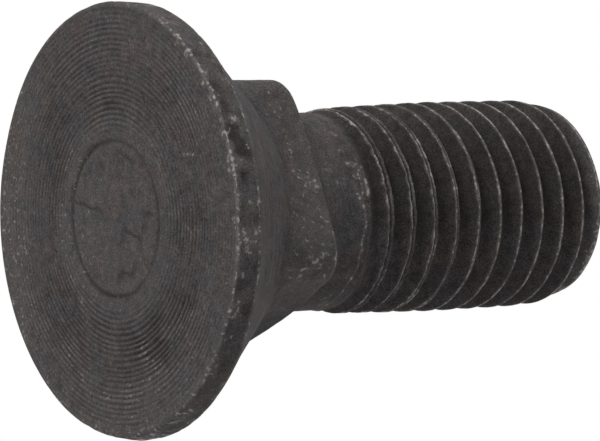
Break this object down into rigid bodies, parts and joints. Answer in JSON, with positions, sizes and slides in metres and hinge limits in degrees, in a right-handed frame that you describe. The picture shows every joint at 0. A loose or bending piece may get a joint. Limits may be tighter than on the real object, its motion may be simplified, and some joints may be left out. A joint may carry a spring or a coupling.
{
  "type": "plow bolt",
  "caption": "Plow bolt: a flat countersunk head on a short square neck, with a coarse right-hand thread up to a chamfered end.",
  "frame": {"origin": "centre of the flat face of the head, which the bolt stands on", "axes": "+Z along the shank, from the head towards the thread end; +X and +Y square to two flats of the neck"},
  "size_m": [0.0436, 0.0436, 0.0571],
  "materials": {
    "black_steel": "dull black oxide over forged steel, worn to bare metal on the thread crests and the head's edge"
  },
  "bodies": {
    "root": {"plow_bolt": "black_steel"}
  },
  "joints": []
}
